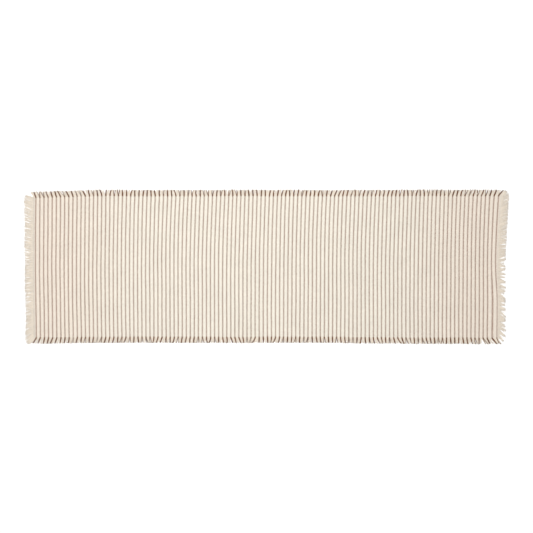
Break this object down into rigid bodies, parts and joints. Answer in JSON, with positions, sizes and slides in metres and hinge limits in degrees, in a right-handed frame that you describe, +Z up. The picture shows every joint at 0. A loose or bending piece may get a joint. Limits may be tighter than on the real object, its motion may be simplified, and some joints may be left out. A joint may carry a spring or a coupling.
{
  "type": "table runner",
  "caption": "Striped woven cotton table runner with short fringes on all four sides, lying flat; its two ends fold over the centre or drop over a table's edge.",
  "frame": {"origin": "middle of the underside, on the surface that the runner lies on", "axes": "+X along the runner's length, +Y across it along the stripes, +Z up from the table"},
  "size_m": [0.9356, 0.2964, 0.0012],
  "materials": {
    "cream_cotton": "matt woven cotton, natural cream",
    "brown_cotton": "matt brown cotton yarn",
    "cream_fringe": "loose twisted cotton yarn, natural cream",
    "cream_thread": "smooth cream sewing thread"
  },
  "bodies": {
    "centre": {"centre_cloth": "cream_cotton", "centre_stripes": "brown_cotton", "centre_front_fringe": "cream_fringe", "centre_front_stitching": "cream_thread", "centre_back_fringe": "cream_fringe", "centre_back_stitching": "cream_thread"},
    "left_end": {"left_cloth": "cream_cotton", "left_stripes": "brown_cotton", "left_front_fringe": "cream_fringe", "left_front_stitching": "cream_thread", "left_back_fringe": "cream_fringe", "left_back_stitching": "cream_thread", "left_end_fringe": "cream_fringe", "left_end_stitching": "cream_thread"},
    "right_end": {"right_cloth": "cream_cotton", "right_stripes": "brown_cotton", "right_front_fringe": "cream_fringe", "right_front_stitching": "cream_thread", "right_back_fringe": "cream_fringe", "right_back_stitching": "cream_thread", "right_end_fringe": "cream_fringe", "right_end_stitching": "cream_thread"}
  },
  "joints": [
    {"name": "left_fold", "type": "hinge", "parent": "centre", "child": "left_end", "pos_m": [-0.1659, 0, 0.00135], "axis": [0, 1, 0], "range_deg": [-90, 180]},
    {"name": "right_fold", "type": "hinge", "parent": "centre", "child": "right_end", "pos_m": [0.1659, 0, 0.0021], "axis": [0, -1, 0], "range_deg": [-90, 180]}
  ]
}
